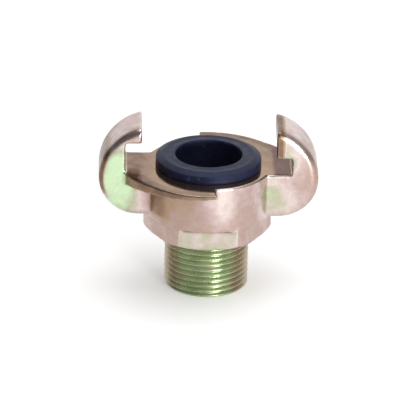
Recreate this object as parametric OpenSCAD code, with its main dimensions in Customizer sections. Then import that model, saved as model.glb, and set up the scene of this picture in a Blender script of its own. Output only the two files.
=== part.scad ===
// Claw hose coupling half with a male pipe thread.
// Two pieces: one zinc plated casting with its cams and claws, and one rubber ring seal.
// Millimetres, +Z up. The origin is the middle of the thread's end face.
// The casting repeats itself after half a turn about Z.

/* [Thread and bore] */
// Outer diameter of the pipe thread, G 3/4
thread_diameter = 26.44; // [24:0.01:30]
// Length of the threaded stub under the hexagon
thread_length = 19; // [12:0.5:30]
// Chamfer at the thread's end
thread_chamfer = 1; // [0.5:0.1:2]
// Diameter of the air passage
bore_diameter = 20; // [12:0.5:21]
// Chamfer at the lower mouth of the air passage
bore_chamfer = 0.8; // [0.3:0.1:1]

/* [Hexagon and neck] */
// Width of the hexagon across its flats
hexagon_across = 36; // [33:0.5:38]
// Diameter that the hexagon's corners are turned to
hexagon_corner = 40.2; // [39:0.1:43]
// Height of the hexagon
hexagon_height = 6.5; // [4:0.5:12]
// Height of the turned bevel at the hexagon's lower edge
hexagon_bevel = 1; // [0.3:0.1:1.5]
// Width of that bevel
hexagon_bevel_width = 1.6; // [0.5:0.1:2.5]
// Diameter of the round neck
neck_diameter = 40; // [38:0.5:42]
// Height of the round neck
neck_height = 15; // [14:0.5:24]

/* [Cam flanges] */
// Radius of the cam flanges
flange_radius = 25.3; // [23:0.1:26]
// Angle that each flange covers
flange_sweep = 110; // [80:1:125]
// Thickness of a flange at its free end
flange_start = 1.1; // [0.8:0.1:3]
// Thickness of a flange where it runs into its claw
flange_end = 4.8; // [3.5:0.1:5.5]
// How far the flange swells outward towards its claw
flange_swell = 4.8; // [1:0.1:5.5]

/* [Claws] */
// Distance between the flat tips of the two claws
claw_distance = 42; // [40.5:0.1:44]
// Width of a claw along the joint's rim
claw_width = 16.5; // [12:0.5:18]
// How far a claw's middle lies off the centre plane
claw_offset = 0.3; // [0:0.1:1.5]
// Distance from the axis to a claw's outermost point
claw_reach = 34.3; // [33.5:0.1:37]
// Radius of the claw's back, from its tip to its outermost point
back_radius = 17.6; // [16:0.1:20]
// Radius of the claw's heel, from its outermost point to its underside
heel_radius = 12.4; // [9:0.1:12.6]
// Depth of the claw's outermost point under the joint face
reach_depth = 2.3; // [1.5:0.1:4]
// Rounding of the claw's back along both rims
rim_rounding = 2.3; // [1:0.1:3.2]
// Rounding along the top of a claw's tip
tip_rounding = 0.8; // [0.3:0.1:1.2]
// Height of the lip's underside over the joint face, at the middle of the claw
lip_height = 9.2; // [8.6:0.1:9.6]
// Fall of the lip's underside across the claw, towards its closing plate
lip_fall = 1.2; // [0:0.1:1.6]
// Clearance round the mating half's flange in the pocket under the lip
flange_clearance = 0.8; // [0.3:0.1:1]
// Thickness of the plate that closes the pocket at one side
plate_thickness = 4.5; // [3:0.1:6]
// Height of the notch in the plate over the joint face
notch_height = 5.5; // [3:0.1:6]

/* [Seal] */
// Outer diameter of the seal's face
seal_diameter = 33.2; // [32:0.1:36]
// Inner diameter of the seal
seal_bore = 21; // [18:0.1:23]
// Height of the seal's face over the joint face
seal_height = 3.5; // [2.5:0.1:4.5]
// Width of the slope round the seal's face
seal_slope_width = 2.2; // [0.5:0.1:2.8]
// Fall of the slope round the seal's face
seal_slope_fall = 0.8; // [0.3:0.1:1.6]
// Bevel at the seal's inner edge
seal_bevel = 0.5; // [0.2:0.1:0.8]
// Diameter of the metal lip that holds the seal
rim_diameter = 28; // [26.5:0.1:29]
// Height of the metal lip that holds the seal
rim_height = 2.5; // [1.5:0.1:3]
// Depth of the groove behind the metal lip
groove_depth = 1.5; // [1:0.1:2]
// Height of the groove behind the metal lip
groove_height = 4; // [3:0.1:5]
// Clearance between the seal and the metal round it
seal_clearance = 0.15; // [0.1:0.05:0.3]

/* [Hidden] */
joint_z = thread_length + hexagon_height + neck_height;
neck_z = thread_length + hexagon_height;
reach_z = joint_z - reach_depth;
heel_x = claw_reach - heel_radius;
back_x = claw_reach - back_radius;
groove_diameter = rim_diameter + 2 * groove_depth;
claw_root = 16;
pocket_wall = flange_radius + flange_clearance;
plate_face = claw_offset + claw_width / 2;
open_face = claw_width / 2 - claw_offset;
tip_radius = claw_distance / 2;
corner_x = tip_radius + tip_rounding;
corner_arc = back_radius - tip_rounding;
corner_z = reach_z + sqrt(pow(corner_arc, 2) - pow(corner_x - back_x, 2));
plate_side = -asin((plate_face - plate_thickness / 2) / flange_radius);
swell_side = -40;
ramp_steps = 22;
ramp_reach = 40;
ramp_core = 16;
clear_span = 60;
overlap = 1;
$fn = 96;

module body() {
    color([0.78, 0.68, 0.55])
    difference() {
        union() {
            threaded_stub();
            hexagon();
            neck();
            for (turn = [0, 180])
                rotate([0, 0, turn]) {
                    cam_flange();
                    claw();
                }
        }
        air_passage();
        seal_seat();
    }
}

// The stub carries its thread's full diameter down to the end chamfer.
module threaded_stub() {
    translate([0, 0, thread_chamfer])
        cylinder(d = thread_diameter, h = thread_length - thread_chamfer + overlap);
    cylinder(
        d1 = thread_diameter - 2 * thread_chamfer,
        d2 = thread_diameter,
        h = thread_chamfer
    );
}

// A hexagon with a flat towards -Y, its corners turned to a cylinder and bevelled below.
module hexagon() {
    intersection() {
        translate([0, 0, thread_length])
            cylinder(d = hexagon_across / cos(30), h = hexagon_height + overlap, $fn = 6);
        union() {
            translate([0, 0, thread_length + hexagon_bevel])
                cylinder(d = hexagon_corner, h = hexagon_height + overlap);
            translate([0, 0, thread_length])
                cylinder(
                    d1 = hexagon_corner - 2 * hexagon_bevel_width,
                    d2 = hexagon_corner,
                    h = hexagon_bevel
                );
        }
    }
}

module neck() {
    translate([0, 0, neck_z])
        cylinder(d = neck_diameter, h = neck_height);
}

// A flange lies flush with the joint face and its underside climbs as a helix away from the claw.
module cam_flange() {
    intersection() {
        translate([0, 0, joint_z - flange_end - overlap])
            linear_extrude(height = flange_end + overlap)
                flange_outline();
        flange_ramp();
    }
}

// Two circles of one radius: the shifted one makes the swelling towards the claw.
module flange_outline() {
    circle(r = flange_radius);
    translate(flange_swell * [cos(swell_side), sin(swell_side)])
        circle(r = flange_radius);
}

// Ramp of the flange: each step is a radial slice whose underside is set by its angle alone.
module flange_ramp() {
    function at(step, radius, level) =
        let (angle = plate_side + flange_sweep * step / ramp_steps)
        [radius * cos(angle), radius * sin(angle), level];
    function under(step) =
        joint_z - flange_end + (flange_end - flange_start) * step / ramp_steps;
    slices = [
        for (step = [0 : ramp_steps])
            each [
                at(step, ramp_core, under(step)),
                at(step, ramp_reach, under(step)),
                at(step, ramp_reach, joint_z + overlap),
                at(step, ramp_core, joint_z + overlap)
            ]
    ];
    walls = [
        for (step = [0 : ramp_steps - 1], side = [0 : 3])
            let (
                a = 4 * step + side,
                b = 4 * step + (side + 1) % 4
            )
            each [[a, b, b + 4], [a, b + 4, a + 4]]
    ];
    last = 4 * ramp_steps;
    ends = [[3, 2, 1, 0], [last, last + 1, last + 2, last + 3]];
    polyhedron(points = slices, faces = concat(walls, ends));
}

// A claw stands on the neck at +X. Its open side looks to +Y and its plate closes it at -Y.
module claw() {
    difference() {
        claw_blank();
        across_claw(-plate_face - overlap, open_face + overlap)
            tip_cut();
        claw_pocket();
        across_claw(-plate_face - overlap, overlap - plate_face + plate_thickness)
            plate_notch();
        neck_recess();
    }
}

// Stands a side view, drawn as distance from the axis against height, between two Y values.
module across_claw(from, to) {
    translate([0, to, 0])
        rotate([90, 0, 0])
            linear_extrude(height = to - from)
                children();
}

// The claw's outside: the upper part of a large wheel for its back, the lower part of a small one for
// its heel, which run into each other at the outermost point, and a root that joins the heel to the neck.
module claw_blank() {
    intersection() {
        rounded_wheel(back_x, back_radius);
        across_claw(-plate_face, open_face)
            translate([claw_root, reach_z])
                square([clear_span, clear_span]);
    }
    intersection() {
        rounded_wheel(heel_x, heel_radius);
        across_claw(-plate_face, open_face)
            translate([claw_root, reach_z - clear_span])
                square([clear_span, clear_span]);
    }
    claw_root_block();
}

// A wheel as wide as the claw, with both rims rounded. Its axle lies along Y at the outermost point's level.
module rounded_wheel(x, radius) {
    translate([x, open_face, reach_z])
        rotate([90, 0, 0])
            rotate_extrude() {
                square([radius - rim_rounding, claw_width]);
                translate([0, rim_rounding])
                    square([radius, claw_width - 2 * rim_rounding]);
                for (level = [rim_rounding, claw_width - rim_rounding])
                    translate([radius - rim_rounding, level])
                        circle(r = rim_rounding);
            }
}

// From the neck to the heel's axle, with both lower rims rounded like the heel's.
module claw_root_block() {
    low = reach_z - heel_radius;
    translate([claw_root, 0, 0])
        rotate([90, 0, 90])
            linear_extrude(height = heel_x - claw_root)
                for (side = [-plate_face, open_face - 2 * rim_rounding])
                    translate([side + rim_rounding, low + rim_rounding])
                        circle(r = rim_rounding);
    translate([claw_root, rim_rounding - plate_face, low])
        cube([heel_x - claw_root, claw_width - 2 * rim_rounding, heel_radius]);
    translate([claw_root, -plate_face, low + rim_rounding])
        cube([heel_x - claw_root, claw_width, heel_radius - rim_rounding]);
}

// What is cut off at the tip: everything nearer the axis than its flat face, and its top corner.
module tip_cut() {
    translate([0, joint_z])
        square([tip_radius, clear_span]);
    tip_corner();
}

// Rounds the top of the claw's tip: the rounding touches both the tip's face and the back's arc.
module tip_corner() {
    touch_x = back_x + (corner_x - back_x) * back_radius / corner_arc;
    difference() {
        translate([tip_radius - overlap, corner_z])
            square([touch_x - tip_radius + overlap, tip_rounding + rim_rounding]);
        translate([corner_x, corner_z])
            circle(r = tip_rounding);
    }
}

// Room for the mating half's flange, under a lip that falls towards the closing plate.
module claw_pocket() {
    lip_angle = atan(lip_fall / claw_width);
    intersection() {
        across_claw(plate_thickness - plate_face, open_face + overlap)
            translate([0, joint_z])
                square([pocket_wall, lip_height + lip_fall]);
        translate([0, 0, joint_z + lip_height])
            rotate([lip_angle, 0, 0])
                translate([0, -clear_span / 2, -clear_span / 2])
                    cube([clear_span, clear_span, clear_span / 2]);
    }
}

// Side view of the notch where the mating flange passes the closing plate.
module plate_notch() {
    translate([0, joint_z])
        square([pocket_wall, notch_height]);
}

// Keeps the claw's root out of the seal's seat and the air passage.
module neck_recess() {
    cylinder(d = neck_diameter - 2 * overlap, h = joint_z + overlap);
}

module air_passage() {
    translate([0, 0, -overlap])
        cylinder(d = bore_diameter, h = joint_z + overlap);
    translate([0, 0, -overlap])
        cylinder(
            d1 = bore_diameter + 2 * (bore_chamfer + overlap),
            d2 = bore_diameter,
            h = bore_chamfer + overlap
        );
}

// The seat is a plain groove behind a narrower metal lip.
module seal_seat() {
    translate([0, 0, joint_z - rim_height - groove_height])
        cylinder(d = groove_diameter, h = groove_height);
    translate([0, 0, joint_z - rim_height - overlap])
        cylinder(d = rim_diameter, h = rim_height + 2 * overlap);
}

module seal() {
    color([0.09, 0.1, 0.13])
    rotate_extrude()
        seal_section();
}

// Section of the ring: a foot in the groove, a waist in the metal lip, and over the joint a flat face
// that slopes off round its edge.
module seal_section() {
    inner = seal_bore / 2;
    outer = seal_diameter / 2;
    waist = rim_diameter / 2 - seal_clearance;
    foot = groove_diameter / 2 - seal_clearance;
    foot_low = joint_z - rim_height - groove_height + seal_clearance;
    foot_high = joint_z - rim_height - seal_clearance;
    top = joint_z + seal_height;
    translate([inner, foot_low])
        square([foot - inner, foot_high - foot_low]);
    translate([inner, foot_low])
        square([waist - inner, joint_z + overlap - foot_low]);
    polygon([
        [inner, joint_z],
        [outer, joint_z],
        [outer, top - seal_slope_fall],
        [outer - seal_slope_width, top],
        [inner + seal_bevel, top],
        [inner, top - seal_bevel]
    ]);
}

body();
seal();
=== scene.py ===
import math

import bmesh
import bpy
import numpy as np
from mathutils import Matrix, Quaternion, Vector


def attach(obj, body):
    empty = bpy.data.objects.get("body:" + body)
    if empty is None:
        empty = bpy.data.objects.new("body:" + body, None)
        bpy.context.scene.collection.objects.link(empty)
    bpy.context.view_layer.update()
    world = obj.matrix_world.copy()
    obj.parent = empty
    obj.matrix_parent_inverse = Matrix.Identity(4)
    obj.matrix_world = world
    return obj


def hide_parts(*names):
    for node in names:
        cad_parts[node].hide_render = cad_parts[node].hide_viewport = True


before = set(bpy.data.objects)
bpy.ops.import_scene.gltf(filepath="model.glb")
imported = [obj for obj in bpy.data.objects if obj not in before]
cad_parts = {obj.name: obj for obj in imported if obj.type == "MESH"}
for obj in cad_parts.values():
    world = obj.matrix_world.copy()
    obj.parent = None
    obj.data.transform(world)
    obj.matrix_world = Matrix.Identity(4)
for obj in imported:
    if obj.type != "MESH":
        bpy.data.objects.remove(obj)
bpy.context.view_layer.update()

MM = 0.001

# Sizes of the coupling's two solids, in millimetres
JOINT_Z = 40.5
THREAD_RADIUS = 13.22
THREAD_CHAMFER = 1.0
PASSAGE_RADIUS = 10.0
SEAL_RADIUS = 16.6
SEAL_BORE_RADIUS = 10.5
SEAL_TOP = 44.0
SEAL_SLOPE_WIDTH = 2.2
SEAL_SLOPE_FALL = 0.8
WAIST_RADIUS = 13.85
FOOT_RADIUS = 15.35
FOOT_LOW = 34.15
FOOT_HIGH = 37.85

# The screw thread, which the solid leaves plain
THREAD_PITCH = 1.814
THREAD_DEPTH = 1.16
CREST_FLAT = 0.06
# Where the threaded sleeve meets the casting, just under the hexagon
SLEEVE_TOP = 18.6
# How far the crests and the seal's face stay inside the solids
INSIDE = 0.03
# Half of the seal's waver, as a share of its radius
SEAL_WAVER = 0.0010

# The small cubes that the casting is rebuilt from, in millimetres, and how far and how many times
# its points are then drawn to their neighbours' middle
CAST_CUBE = 0.38
CAST_RELAXING = 0.5
CAST_RELAXINGS = 5

# Points round the two turned pieces, and up the thread
THREAD_AROUND = 288
THREAD_LEVELS = 150
SEAL_AROUND = 224


def smooth_step(start, end, x):
    """0 at start, 1 at end, held beyond both, and 3t^2 - 2t^3 between them. Either may be the
    lower one."""
    t = np.clip((x - start) / (end - start), 0, 1)
    return t * t * (3 - 2 * t)


def band(start, full, fade, end, x):
    """0 up to start, 1 from full to fade and 0 again from end on, with smooth steps between."""
    return smooth_step(start, full, x) * smooth_step(end, fade, x)


def ripple(points, wavelength, seed):
    """Smooth noise from -1 to 1: the mean of nine sine waves, each with a direction, a length and a
    phase of its own."""
    rng = np.random.default_rng(seed)
    directions = rng.normal(size=(9, 3))
    directions /= np.linalg.norm(directions, axis=1)[:, None]
    lengths = wavelength * rng.uniform(0.7, 1.6, 9)
    phases = rng.uniform(0, 2 * math.pi, 9)
    waves = np.sin(points @ (directions / lengths[:, None]).T * 2 * math.pi + phases)
    return np.clip(waves.mean(axis=1) * 2.1, -1, 1)


def points_of(mesh, what="co"):
    """The mesh's vertex places or normals as an array of rows."""
    flat = np.zeros(len(mesh.vertices) * 3, np.float32)
    mesh.vertices.foreach_get(what, flat)
    return flat.reshape(-1, 3).astype(float)


def store(mesh, name, values):
    """Keeps one number for each vertex under that name."""
    layer = mesh.attributes.new(name, "FLOAT", "POINT")
    layer.data.foreach_set("value", np.asarray(values, np.float32))


def closed_grid(name, rows):
    """A ring of rings: rows[i, j] joins rows[i + 1, j] and rows[i, j + 1], and both ways wrap
    round. The places are in millimetres."""
    count, around = rows.shape[:2]
    i, j = np.meshgrid(np.arange(count), np.arange(around), indexing="ij")
    here, above = i * around, (i + 1) % count * around
    beside = (j + 1) % around
    quads = np.stack([here + j, here + beside, above + beside, above + j], -1)
    mesh = bpy.data.meshes.new(name)
    mesh.from_pydata(rows.reshape(-1, 3) * MM, [], quads.reshape(-1, 4))
    mesh.polygons.foreach_set("use_smooth", np.ones(len(mesh.polygons), bool))
    mesh.update()
    return mesh


def add_piece(name, mesh, material):
    """Puts the mesh in the scene at the origin, with its finish, and lets it ride with the part."""
    piece = bpy.data.objects.new(name, mesh)
    bpy.context.scene.collection.objects.link(piece)
    mesh.materials.clear()
    mesh.materials.append(material)
    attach(piece, "root")
    return piece


def arc(centre, radius, start, end, count):
    """Points of a circle's arc from one angle to another, in degrees."""
    turn = np.radians(np.linspace(start, end, count))
    return np.array(centre) + radius * np.stack([np.cos(turn), np.sin(turn)], -1)


def along(points, spacing):
    """The straight path from point to point, with points on it no more than the spacing apart."""
    points = np.array(points)
    out = []
    for a, b in zip(points[:-1], points[1:]):
        steps = max(1, int(np.ceil(np.linalg.norm(b - a) / spacing)))
        out.append(a + (b - a) * (np.arange(steps) / steps)[:, None])
    out.append(points[-1:])
    return np.concatenate(out)


def cast_body():
    """The casting above its thread: a merged copy of the solid, cut level under the hexagon and
    closed there, then rebuilt from small cubes and relaxed, so that its edges come out as round as
    a casting's."""
    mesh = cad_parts["body"].data.copy()
    shape = bmesh.new()
    shape.from_mesh(mesh)
    bmesh.ops.remove_doubles(shape, verts=shape.verts, dist=1e-6)
    cut = bmesh.ops.bisect_plane(
        shape,
        geom=shape.verts[:] + shape.edges[:] + shape.faces[:],
        plane_co=(0, 0, SLEEVE_TOP * MM),
        plane_no=(0, 0, 1),
        clear_inner=True,
    )
    rim = [e for e in cut["geom_cut"] if isinstance(e, bmesh.types.BMEdge)]
    bmesh.ops.bridge_loops(shape, edges=rim)
    bmesh.ops.recalc_face_normals(shape, faces=shape.faces)
    shape.to_mesh(mesh)
    shape.free()
    rough = bpy.data.objects.new("casting_blank", mesh)
    bpy.context.scene.collection.objects.link(rough)
    rebuild = rough.modifiers.new("rebuild", "REMESH")
    rebuild.mode = "VOXEL"
    rebuild.voxel_size = CAST_CUBE * MM
    relax = rough.modifiers.new("relax", "SMOOTH")
    relax.factor = CAST_RELAXING
    relax.iterations = CAST_RELAXINGS
    finished = rough.evaluated_get(bpy.context.evaluated_depsgraph_get())
    made = bpy.data.meshes.new_from_object(finished)
    bpy.data.objects.remove(rough)
    made.name = "casting"
    made.polygons.foreach_set("use_smooth", np.ones(len(made.polygons), bool))
    made.update()
    return made


def standing_out(mesh):
    """How far each vertex stands out from the middle of its neighbours, in millimetres, evened out
    three times: over 0 on outer edges and under 0 in corners."""
    ends = np.zeros(len(mesh.edges) * 2, np.int32)
    mesh.edges.foreach_get("vertices", ends)
    a, b = ends.reshape(-1, 2).T
    places = points_of(mesh)
    count = np.bincount(ends, minlength=len(places))

    def neighbours_mean(values):
        """At each vertex, the sum of the values at the edges' other ends, over their count."""
        both_ways = np.bincount(a, values[b], len(places)) + np.bincount(b, values[a], len(places))
        return both_ways / np.maximum(count, 1)

    middle = np.stack([neighbours_mean(places[:, axis]) for axis in range(3)], -1)
    out = ((places - middle) * points_of(mesh, "normal")).sum(axis=1) / MM
    for _ in range(3):
        out = 0.5 * out + 0.5 * neighbours_mean(out)
    return out


# Places where the plating's film is given a thickness: a middle and a reach in millimetres, and
# the film there. One under 0 ends up as 0 and draws a wider place towards it. The rows marked
# below are painted shade.
FILM_AND_SHADE_PATCHES = [
    ((0, 0, 58), 30, 0.26),
    ((-30, -8, 31), 12, -0.04),
    ((-21, -8, 27), 7, 0.10),
    ((-30, -8, 39), 8, -0.20),
    # Painted shade: the left claw's outer rim, turned dark brown
    ((-36, -3, 45), 5, 1.00),
    ((-27, -9, 42), 7, -0.16),
    ((-29, 0, 56), 9, 0.22),
    ((29, 0, 56), 9, 0.24),
    ((28, -9, 37), 9, 0.46),
    ((24, -9, 45), 5, 0.00),
    ((22, -9, 29), 8, 0.12),
    ((31, -9, 30), 6, 0.36),
    # Painted shade: the neck beside the left claw, turned dark golden brown
    ((-16.5, -12.5, 33), 5.5, 0.94),
    # Painted shadow: the neck under the front flange, turned golden brown
    ((-10, -18, 35), 7, 0.72),
    ((-9, -18, 28), 7, 0.48),
    ((5, -21, 34), 6, 0.15),
    ((12, -16, 31), 6, 0.42),
    ((19, -8, 33), 6, 0.04),
    ((-15, -11, 22), 9, 0.50),
    ((15, -11, 22), 9, 0.46),
]
# The bell curve's width as a share of the reach, and its height
PATCH_WIDTH = 0.62
PATCH_SHARE = 0.85


def toward(film_there, own, share):
    """The film carried towards the value given for a place by a share from 0 to 1."""
    return film_there + (own - film_there) * share


def joint_face_film_and_shade(x, y):
    """The joint face's film: brown and thinner in front, and thicker beside the claws, which is
    painted shade under their hooks.
    """
    front = band(-24, -6, 14, 22, x) * smooth_step(8, -10, y)
    # Painted shade: the joint face turns browner beside the claws, under their hooks
    shade_by_claws = 0.30 * smooth_step(19.5, 21.5, x) + 0.12 * smooth_step(-17, -22, x)
    return 0.84 - 0.14 * front + shade_by_claws - 0.14 * smooth_step(-14, -20, y)


def film_and_shade(points, normals):
    """Thickness of the plating's film, 0 to 1, with painted shade carried in it: a slow drift over
    the part, carried to each patch's film by a bell curve of the distance from its middle. The
    level joint face is browner, and painted shade browns the flanges' thin sides, the neck beside
    the left claw, that claw's rim and the right claw's end. The hexagon's front flat is greener.
    Places are in millimetres."""
    x, y, z = points.T
    out = 0.42 + 0.10 * ripple(points, wavelength=30, seed=3)
    out += 0.04 * ripple(points, wavelength=10, seed=8)
    for middle, reach, own in FILM_AND_SHADE_PATCHES:
        squared_distance = ((points - np.array(middle)) ** 2).sum(axis=1)
        bell = np.exp(-squared_distance / (2 * (PATCH_WIDTH * reach) ** 2))
        out = toward(out, own, share=PATCH_SHARE * bell)
    level = smooth_step(0.8, 0.97, normals[:, 2])
    level *= band(JOINT_Z - 1, JOINT_Z - 0.4, JOINT_Z + 0.6, JOINT_Z + 1.6, z)
    out = toward(out, own=joint_face_film_and_shade(x, y), share=0.9 * level)
    # Painted shade: the flanges' thin sides are turned dark brown
    flange_side_shade = smooth_step(21.5, 23.0, np.hypot(x, y)) * (np.abs(y) > 9)
    flange_side_shade *= band(JOINT_Z - 5.5, JOINT_Z - 4.5, JOINT_Z - 0.2, JOINT_Z + 0.4, z)
    out = toward(out, own=1.0, share=0.85 * flange_side_shade)
    # Painted shade: the neck beside the left claw is turned dark golden brown
    neck_left_shade = smooth_step(-11, -16, x) * smooth_step(-8.6, -9.2, y) * band(27, 29, 36, 38, z)
    out = toward(out, own=0.94, share=0.8 * neck_left_shade)
    front_flat = smooth_step(0.90, 0.97, -normals[:, 1]) * smooth_step(-17.2, -17.8, y)
    front_flat *= smooth_step(26.2, 25.2, z)
    out = toward(out, own=0.13, share=0.8 * front_flat)
    # Painted shade: the left claw's outer rim, facing left, is turned dark brown
    left_rim_shade = smooth_step(0.2, 0.5, -normals[:, 0]) * smooth_step(-30, -32, x)
    left_rim_shade *= band(31, 35, 47, 51, z)
    out = toward(out, own=1.0, share=0.9 * left_rim_shade)
    # Painted shade: a dark brown band down the right claw's tip
    right_end_shade = smooth_step(24.0, 22.6, x) * smooth_step(45, 47, z) * (x > 0)
    out = toward(out, own=1.0, share=0.9 * right_end_shade)
    ripples = 0.03 * ripple(points, wavelength=6, seed=21)
    ripples += 0.02 * ripple(points, wavelength=2.2, seed=22)
    return np.clip(out + ripples, 0, 1)


def machined(points, normals):
    """1 where the casting is turned smooth, on the joint face and inside the metal lip and the
    passage, and 0 elsewhere."""
    x, y, z = points.T
    face = smooth_step(0.9, 0.99, normals[:, 2]) * (np.abs(z - JOINT_Z) < 0.6)
    wall = smooth_step(14.2, 13.6, np.hypot(x, y)) * (z < JOINT_Z)
    return np.clip(face + wall, 0, 1)


def thread_sleeve():
    """The threaded stub as one closed ring. Outside, the radius is the full one less the thread's
    depth times a rounded zigzag of (height / pitch - angle / full turn), so that the ridges climb
    to the right. The zigzag fades under the hexagon, and the chamfer's cone cuts it off at the end.
    Its top is hidden in the casting, and inside are the passage and the passage's chamfer."""
    turn = np.linspace(0, 2 * math.pi, THREAD_AROUND, endpoint=False)
    heights = np.linspace(0, SLEEVE_TOP, THREAD_LEVELS)
    z, angle = np.meshgrid(heights, turn, indexing="ij")
    phase = (z / THREAD_PITCH - angle / (2 * math.pi)) % 1
    zigzag = np.abs(2 * phase - 1)
    # A groove is the mean of an S curve and a straight flank, each with flats at its ends
    curved = smooth_step(CREST_FLAT, 1 - CREST_FLAT, zigzag)
    straight = np.clip((zigzag - 2 * CREST_FLAT) / (1 - 4 * CREST_FLAT), 0, 1)
    groove = (curved + straight) / 2
    runout = smooth_step(SLEEVE_TOP - 0.7, SLEEVE_TOP - 1.9, z)
    radius = THREAD_RADIUS - INSIDE - THREAD_DEPTH * groove * runout
    radius = np.minimum(radius, THREAD_RADIUS - THREAD_CHAMFER + z)
    outside = np.stack([radius, z], -1)
    hidden_top = [
        [THREAD_RADIUS - 0.6, SLEEVE_TOP + 0.6],
        [PASSAGE_RADIUS + 0.4, SLEEVE_TOP + 0.6],
    ]
    passage = [
        [PASSAGE_RADIUS, SLEEVE_TOP + 0.1],
        [PASSAGE_RADIUS, 0.85],
        [PASSAGE_RADIUS + 0.06, 0.74],
        [PASSAGE_RADIUS + 0.7, 0.1],
        [PASSAGE_RADIUS + 0.82, 0.0],
    ]
    flat_end = [[PASSAGE_RADIUS + 1.0, 0.0], [THREAD_RADIUS - THREAD_CHAMFER - 0.1, 0.0]]
    rest = np.concatenate([along(hidden_top + passage, 0.6), along(flat_end, 0.3)])
    rest = np.repeat(rest[:, None, :], THREAD_AROUND, axis=1)
    section = np.concatenate([outside, rest])
    wide = np.concatenate([angle, np.repeat(turn[None, :], len(rest), axis=0)])
    out, up = section[..., 0], section[..., 1]
    rows = np.stack([out * np.cos(wide), out * np.sin(wide), up], -1)
    mesh = closed_grid("pipe_thread", rows)
    # Painted shade: the film grows towards the thread's left and right sides, as the camera sees
    # them, so that they turn brown
    x = rows[..., 0]
    side = smooth_step(7.0, 11.5, np.abs(x) + 1.5 * (x > 0))
    store(mesh, "film_and_shade", (0.25 + 0.75 * side).reshape(-1))
    depth = np.concatenate([(THREAD_RADIUS - radius) / THREAD_DEPTH, np.zeros(rest.shape[:2])])
    store(mesh, "groove", np.clip(depth, 0, 1).reshape(-1))
    return mesh


def seal_ring():
    """The rubber ring as one closed ring: a section turned about Z, with a foot, a waist, a side
    with a moulding line, a slope round the face, the face with a shallow dish (half a sine wave
    across it) and a bead at the bore. As on moulded rubber, the radius wavers by a few hundredths
    of a millimetre, a sine wave with five crests round the ring."""
    low_edge, edge, bead = 0.3, 0.45, 0.5
    dish_depth, line_height = 0.10, 0.04
    side = SEAL_RADIUS - 0.05
    brow, foot_of_slope = SEAL_TOP - INSIDE, SEAL_TOP - SEAL_SLOPE_FALL
    slope_in = SEAL_RADIUS - SEAL_SLOPE_WIDTH
    underside = [[WAIST_RADIUS, JOINT_Z], [side - low_edge, JOINT_Z]]
    side_and_line = [
        [side, JOINT_Z + 0.45],
        [side, JOINT_Z + 0.6],
        [side + line_height, JOINT_Z + 0.68],
        [side, JOINT_Z + 0.76],
        [side - 0.02, foot_of_slope - edge],
    ]
    slope = [
        [side - edge, foot_of_slope + 0.06],
        [slope_in + 0.35, brow - 0.16],
        [slope_in + 0.1, brow - 0.06],
    ]
    face = np.linspace(slope_in - 0.3, SEAL_BORE_RADIUS + 2 * bead, 16)
    t = (face - face[-1]) / (face[0] - face[-1])
    dish = np.stack([face, brow - dish_depth * np.sin(math.pi * t)], -1)
    bore_and_foot = [
        [SEAL_BORE_RADIUS, SEAL_TOP - 1.2],
        [SEAL_BORE_RADIUS + 0.12, JOINT_Z - 1.0],
        [SEAL_BORE_RADIUS, FOOT_LOW + 0.4],
        [SEAL_BORE_RADIUS + 0.4, FOOT_LOW],
        [FOOT_RADIUS - 0.4, FOOT_LOW],
        [FOOT_RADIUS, FOOT_LOW + 0.4],
        [FOOT_RADIUS, FOOT_HIGH - 0.3],
        [FOOT_RADIUS - 0.3, FOOT_HIGH],
        [WAIST_RADIUS, FOOT_HIGH],
    ]
    section = np.concatenate(
        [
            along(underside, 0.5),
            arc((side - low_edge, JOINT_Z + low_edge), low_edge, -70, 0, 5),
            along(side_and_line, 0.35),
            arc((side - edge, foot_of_slope - edge), edge, 8, 66, 7),
            along(slope, 0.4),
            dish,
            arc((SEAL_BORE_RADIUS + bead, SEAL_TOP - bead), bead, 80, 180, 10),
            along(bore_and_foot, 0.5),
        ]
    )
    turn = np.linspace(0, 2 * math.pi, SEAL_AROUND, endpoint=False)
    waver = 1 - SEAL_WAVER * (1 + np.sin(5 * turn + 2.1))
    radius = section[:, None, 0] * waver[None, :]
    high = np.repeat(section[:, None, 1], SEAL_AROUND, axis=1)
    rows = np.stack([radius * np.cos(turn), radius * np.sin(turn), high], -1)
    return closed_grid("seal_ring", rows)


# The finishes


def new_material(name):
    """A node material with only its output and its shader, and the shader's node."""
    material = bpy.data.materials.new(name)
    material.use_nodes = True
    material.node_tree.nodes.clear()
    nodes, links = material.node_tree.nodes, material.node_tree.links
    shader = nodes.new("ShaderNodeBsdfPrincipled")
    output = nodes.new("ShaderNodeOutputMaterial")
    links.new(shader.outputs["BSDF"], output.inputs["Surface"])
    return material, nodes, links, shader


def place_of(nodes):
    """The socket with the object's own coordinates."""
    return nodes.new("ShaderNodeTexCoord").outputs["Object"]


def attribute(nodes, name):
    """The socket with a number kept on the mesh."""
    node = nodes.new("ShaderNodeAttribute")
    node.attribute_name = name
    return node.outputs["Fac"]


def math_node(nodes, links, operation, a, b):
    """One step of arithmetic on two sockets or numbers."""
    node = nodes.new("ShaderNodeMath")
    node.operation = operation
    for value, socket in ((a, node.inputs[0]), (b, node.inputs[1])):
        if isinstance(value, (int, float)):
            socket.default_value = value
        else:
            links.new(value, socket)
    return node.outputs[0]


def ranged(nodes, links, value, given, wanted):
    """A value carried in a straight line from one range to the other, and held at its ends."""
    node = nodes.new("ShaderNodeMapRange")
    for name, number in zip(("From Min", "From Max", "To Min", "To Max"), (*given, *wanted)):
        node.inputs[name].default_value = number
    links.new(value, node.inputs["Value"])
    return node.outputs["Result"]


def blended(nodes, links, share, colour, other):
    """A colour from a socket, mixed with another by a share from a socket."""
    node = nodes.new("ShaderNodeMix")
    node.data_type = "RGBA"
    factor, a, b = node.inputs[0], node.inputs[6], node.inputs[7]
    links.new(share, factor)
    links.new(colour, a)
    b.default_value = (*other, 1)
    return node.outputs[2]


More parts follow.
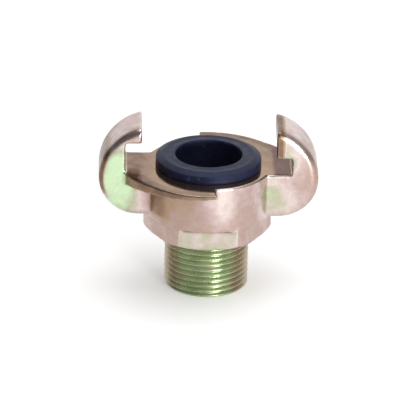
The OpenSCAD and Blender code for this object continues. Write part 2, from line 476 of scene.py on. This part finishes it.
def bumped(nodes, links, texture, shader, strength, distance):
    """The grain as a bump on the shader: its strength is a socket or a number, and its distance is
    in metres."""
    bump = nodes.new("ShaderNodeBump")
    if isinstance(strength, float):
        bump.inputs["Strength"].default_value = strength
    else:
        links.new(strength, bump.inputs["Strength"])
    bump.inputs["Distance"].default_value = distance
    links.new(texture.outputs["Height"], bump.inputs["Height"])
    links.new(bump.outputs["Normal"], shader.inputs["Normal"])


def ramp(nodes, links, value, stops):
    """A colour ramp through the stops, each a place from 0 to 1 and a colour."""
    node = nodes.new("ShaderNodeValToRGB")
    row = node.color_ramp
    while len(row.elements) < len(stops):
        row.elements.new(0.5)
    for element, (where, colour) in zip(row.elements, stops):
        element.position = where
        element.color = (*colour, 1)
    links.new(value, node.inputs["Fac"])
    return node.outputs["Color"]


# How much of the fine noise is in the grain's height
FINE_SHARE = 0.45
# The top part of the speck noise, over which the specks come up
SPECK_RANGE = (0.64, 0.74)
# The middle part of the coarse noise, over which colours and gloss follow it
TONE = (0.3, 0.7)


def surface_grain():
    """A group: fine and coarse noise over the place it is given. Height goes to a bump, Tone drives
    colours and gloss, and Specks marks sparse spots."""
    group = bpy.data.node_groups.new("surface_grain", "ShaderNodeTree")
    face = group.interface
    face.new_socket("Place", in_out="INPUT", socket_type="NodeSocketVector")
    for name in ("Fine Scale", "Coarse Scale", "Speck Scale"):
        face.new_socket(name, in_out="INPUT", socket_type="NodeSocketFloat")
    for name in ("Height", "Tone", "Specks"):
        face.new_socket(name, in_out="OUTPUT", socket_type="NodeSocketFloat")
    nodes, links = group.nodes, group.links
    given = nodes.new("NodeGroupInput")
    result = nodes.new("NodeGroupOutput")

    def noise(scale, detail, roughness):
        """A noise texture over the group's place, with its scale from the named input."""
        texture = nodes.new("ShaderNodeTexNoise")
        texture.inputs["Detail"].default_value = detail
        texture.inputs["Roughness"].default_value = roughness
        links.new(given.outputs["Place"], texture.inputs["Vector"])
        links.new(given.outputs[scale], texture.inputs["Scale"])
        return texture.outputs["Fac"]

    fine = noise("Fine Scale", 3.0, 0.6)
    coarse = noise("Coarse Scale", 4.0, 0.55)
    height = nodes.new("ShaderNodeMath")
    height.operation = "MULTIPLY_ADD"
    links.new(fine, height.inputs[0])
    height.inputs[1].default_value = FINE_SHARE
    links.new(coarse, height.inputs[2])
    links.new(height.outputs[0], result.inputs["Height"])
    links.new(coarse, result.inputs["Tone"])
    specks = ranged(nodes, links, noise("Speck Scale", 2.0, 0.5), SPECK_RANGE, (0.0, 1.0))
    links.new(specks, result.inputs["Specks"])
    return group


GRAIN = surface_grain()


def grain(nodes, links, fine, coarse, specks):
    """The grain group placed in a material with its own scales, in lumps to the metre."""
    node = nodes.new("ShaderNodeGroup")
    node.node_tree = GRAIN
    links.new(place_of(nodes), node.inputs["Place"])
    node.inputs["Fine Scale"].default_value = fine
    node.inputs["Coarse Scale"].default_value = coarse
    node.inputs["Speck Scale"].default_value = specks
    return node


# Colours of the passivated zinc by the thickness of its film, from a thin green one through pink
# and gold to a thick brown one. The painted shade is drawn from the dark brown end as well.
FILM_COLOURS = [
    (0.00, (0.58, 0.74, 0.48)),
    (0.13, (0.46, 0.46, 0.33)),
    (0.26, (0.66, 0.54, 0.52)),
    (0.40, (0.47, 0.345, 0.31)),
    (0.55, (0.42, 0.29, 0.225)),
    (0.70, (0.375, 0.255, 0.165)),
    (0.85, (0.27, 0.17, 0.11)),
    (1.00, (0.13, 0.065, 0.05)),
]
# Painted shade in concave corners
PAINTED_CORNER_SHADE = (0.24, 0.14, 0.07)
# Painted highlight on outer edges
PAINTED_EDGE_HIGHLIGHT = (0.80, 0.72, 0.60)
SPOT_BROWN = (0.36, 0.26, 0.15)

THREAD_COLOURS = [
    (0.35, (0.50, 0.58, 0.36)),
    (0.55, (0.58, 0.70, 0.46)),
    (0.72, (0.66, 0.64, 0.46)),
]
# Brown tone, and painted shade on the thread's left and right sides
THREAD_BROWN_AND_SIDE_SHADE = (0.48, 0.36, 0.27)
# Painted shade in the thread's grooves
PAINTED_GROOVE_SHADE = (0.20, 0.20, 0.10)

RUBBER_COLOURS = [
    (0.3, (0.007, 0.008, 0.026)),
    (0.7, (0.012, 0.014, 0.044)),
]
RUBBER_SHEEN = (0.64, 0.74, 1.0)
DUST_PALE = (0.30, 0.30, 0.34)


def plated_casting():
    """Shiny yellow passivated zinc over a fine cast grain, with painted shade that browns the
    corners and a painted highlight that pales the outer edges, and smoother where turned."""
    material, nodes, links, shader = new_material("plated_casting")
    texture = grain(nodes, links, fine=1500.0, coarse=260.0, specks=420.0)
    drift = ranged(nodes, links, texture.outputs["Tone"], TONE, (-0.05, 0.05))
    thickness = math_node(nodes, links, "ADD", attribute(nodes, "film_and_shade"), drift)
    colour = ramp(nodes, links, thickness, FILM_COLOURS)
    out = attribute(nodes, "standing_out")
    # Painted shade: concave corners turn brown
    corner_shade = ranged(nodes, links, out, (-0.005, -0.05), (0.0, 0.65))
    colour = blended(nodes, links, corner_shade, colour, PAINTED_CORNER_SHADE)
    # Painted highlight: outer edges turn pale
    edge = ranged(nodes, links, out, (0.012, 0.06), (0.0, 0.3))
    colour = blended(nodes, links, edge, colour, PAINTED_EDGE_HIGHLIGHT)
    spots = math_node(nodes, links, "MULTIPLY", texture.outputs["Specks"], 0.14)
    colour = blended(nodes, links, spots, colour, SPOT_BROWN)
    links.new(colour, shader.inputs["Base Color"])
    shader.inputs["Metallic"].default_value = 0.95
    rough = ranged(nodes, links, texture.outputs["Tone"], TONE, (0.22, 0.32))
    turned = attribute(nodes, "machined")
    smoothing = math_node(nodes, links, "MULTIPLY", turned, 0.15)
    rough = math_node(nodes, links, "SUBTRACT", rough, smoothing)
    links.new(rough, shader.inputs["Roughness"])
    strength = ranged(nodes, links, turned, (0.0, 1.0), (0.28, 0.05))
    bumped(nodes, links, texture, shader, strength, distance=0.12 * MM)
    return material


def plated_thread():
    """The same plating on the cut thread: greener, with painted shade that browns its left and
    right sides and darkens the grooves.
    """
    material, nodes, links, shader = new_material("plated_thread")
    texture = grain(nodes, links, fine=2200.0, coarse=150.0, specks=500.0)
    colour = ramp(nodes, links, texture.outputs["Tone"], THREAD_COLOURS)
    drift = ranged(nodes, links, texture.outputs["Tone"], TONE, (-0.2, 0.2))
    thickness = math_node(nodes, links, "ADD", attribute(nodes, "film_and_shade"), drift)
    # Painted shade: the thread's left and right sides turn brown, with a little random brown from
    # the tone too
    brown = ranged(nodes, links, thickness, (0.35, 1.0), (0.0, 0.8))
    colour = blended(nodes, links, brown, colour, THREAD_BROWN_AND_SIDE_SHADE)
    # Painted shade: the grooves darken
    groove_shade = ranged(nodes, links, attribute(nodes, "groove"), (0.1, 0.9), (0.0, 0.5))
    colour = blended(nodes, links, groove_shade, colour, PAINTED_GROOVE_SHADE)
    links.new(colour, shader.inputs["Base Color"])
    shader.inputs["Metallic"].default_value = 0.92
    rough = ranged(nodes, links, texture.outputs["Tone"], TONE, (0.22, 0.34))
    links.new(rough, shader.inputs["Roughness"])
    bumped(nodes, links, texture, shader, strength=0.2, distance=0.05 * MM)
    return material


def moulded_rubber():
    """Satin blue-black rubber with a fine moulded grain and a few pale specks of dust."""
    material, nodes, links, shader = new_material("moulded_rubber")
    texture = grain(nodes, links, fine=1800.0, coarse=300.0, specks=700.0)
    colour = ramp(nodes, links, texture.outputs["Tone"], RUBBER_COLOURS)
    shader.inputs["Specular IOR Level"].default_value = 0.34
    shader.inputs["Specular Tint"].default_value = (*RUBBER_SHEEN, 1)
    dust = math_node(nodes, links, "MULTIPLY", texture.outputs["Specks"], 0.12)
    colour = blended(nodes, links, dust, colour, DUST_PALE)
    links.new(colour, shader.inputs["Base Color"])
    rough = ranged(nodes, links, texture.outputs["Tone"], TONE, (0.42, 0.56))
    links.new(rough, shader.inputs["Roughness"])
    bumped(nodes, links, texture, shader, strength=0.3, distance=0.08 * MM)
    return material


# The pieces

casting_mesh = cast_body()
casting_points = points_of(casting_mesh) / MM
casting_normals = points_of(casting_mesh, "normal")
store(casting_mesh, "film_and_shade", film_and_shade(casting_points, casting_normals))
store(casting_mesh, "machined", machined(casting_points, casting_normals))
store(casting_mesh, "standing_out", standing_out(casting_mesh))
casting = add_piece("casting", casting_mesh, plated_casting())
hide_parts("body")
thread = add_piece("pipe_thread", thread_sleeve(), plated_thread())
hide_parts("body")
ring = add_piece("seal_ring", seal_ring(), moulded_rubber())
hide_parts("seal")

# The studio

FLOOR_REACH = 3.0
FLOOR_GLOW = 0.26
COUPLING_MIDDLE = Vector((0, 0, 0.025))
floor_mesh = bpy.data.meshes.new("floor")
corners = [(x * FLOOR_REACH, y * FLOOR_REACH, 0) for x, y in ((-1, -1), (1, -1), (1, 1), (-1, 1))]
floor_mesh.from_pydata(corners, [], [(0, 1, 2, 3)])
floor = bpy.data.objects.new("floor", floor_mesh)
bpy.context.scene.collection.objects.link(floor)
floor_material, floor_nodes, floor_links, floor_shader = new_material("pale_floor")
floor_shader.inputs["Base Color"].default_value = (0.93, 0.93, 0.93, 1)
floor_shader.inputs["Roughness"].default_value = 0.9
floor_shader.inputs["Specular IOR Level"].default_value = 0.1
# To the camera and in the metal the floor glows a little, so that it is white and keeps its shadow
floor_shader.inputs["Emission Color"].default_value = (1, 1, 1, 1)
light_path = floor_nodes.new("ShaderNodeLightPath").outputs
direct, mirrored = light_path["Is Camera Ray"], light_path["Is Glossy Ray"]
seen = math_node(floor_nodes, floor_links, "MAXIMUM", direct, mirrored)
glow = math_node(floor_nodes, floor_links, "MULTIPLY", seen, FLOOR_GLOW)
floor_links.new(glow, floor_shader.inputs["Emission Strength"])
floor_mesh.materials.append(floor_material)


def lamp(name, place, size, watts):
    """A soft white square lamp, with its place and size in metres, that looks at the coupling."""
    light = bpy.data.lights.new(name, "AREA")
    light.size = size
    light.energy = watts
    holder = bpy.data.objects.new(name, light)
    bpy.context.scene.collection.objects.link(holder)
    holder.location = place
    looking = COUPLING_MIDDLE - Vector(place)
    holder.rotation_euler = looking.to_track_quat("-Z", "Y").to_euler()


lamp("overhead", (0.05, 0.0, 0.9), size=0.8, watts=4.6)
lamp("front_right", (0.34, -0.56, 0.30), size=0.2, watts=0.8)
lamp("low_right", (0.17, -0.36, 0.05), size=0.07, watts=0.9)

# The room is dim in front and at the left, and brighter behind and at the right
world = bpy.data.worlds.new("studio")
bpy.context.scene.world = world
world.use_nodes = True
sky_nodes, sky_links = world.node_tree.nodes, world.node_tree.links
across = sky_nodes.new("ShaderNodeSeparateXYZ")
sky_links.new(sky_nodes.new("ShaderNodeTexCoord").outputs["Generated"], across.inputs[0])
from_right = ranged(sky_nodes, sky_links, across.outputs["X"], (-0.7, 0.9), (0.08, 0.35))
from_behind = ranged(sky_nodes, sky_links, across.outputs["Y"], (0.2, 0.9), (0.0, 0.9))
light_level = math_node(sky_nodes, sky_links, "ADD", from_right, from_behind)
sky_links.new(light_level, sky_nodes["Background"].inputs["Strength"])
sky_nodes["Background"].inputs["Color"].default_value = (1.0, 1.0, 1.0, 1)

# The camera looks down and stands a little to the left of the hexagon's front flat, slightly tilted
ELEVATION = math.radians(24.5)
AZIMUTH = math.radians(1.75)
ROLL = math.radians(1.45)
DISTANCE = 1.41
# The picture's width at the coupling, in millimetres, and what is at its middle, in metres
MM_ACROSS = 131.1
LOOKS_AT = Vector((0, 0, 0.0233))
PICTURE_SHIFT = Vector((0.00037, 0.0016, 0))
SENSOR_WIDTH = 36.0
away = Vector(
    (
        -math.sin(AZIMUTH) * math.cos(ELEVATION),
        -math.cos(AZIMUTH) * math.cos(ELEVATION),
        math.sin(ELEVATION),
    )
)
facing = (-away).to_track_quat("-Z", "Y")
target = LOOKS_AT + facing @ PICTURE_SHIFT
camera = bpy.data.objects.new("camera", bpy.data.cameras.new("camera"))
bpy.context.scene.collection.objects.link(camera)
camera.location = target + away * DISTANCE
camera.rotation_mode = "QUATERNION"
camera.rotation_quaternion = facing @ Quaternion((0, 0, 1), ROLL)
camera.data.sensor_width = SENSOR_WIDTH
camera.data.lens = SENSOR_WIDTH * DISTANCE / (MM_ACROSS * MM)
camera.data.clip_start = 0.01
camera.data.clip_end = 20.0
bpy.context.scene.camera = camera

bpy.context.scene.view_settings.view_transform = "Standard"
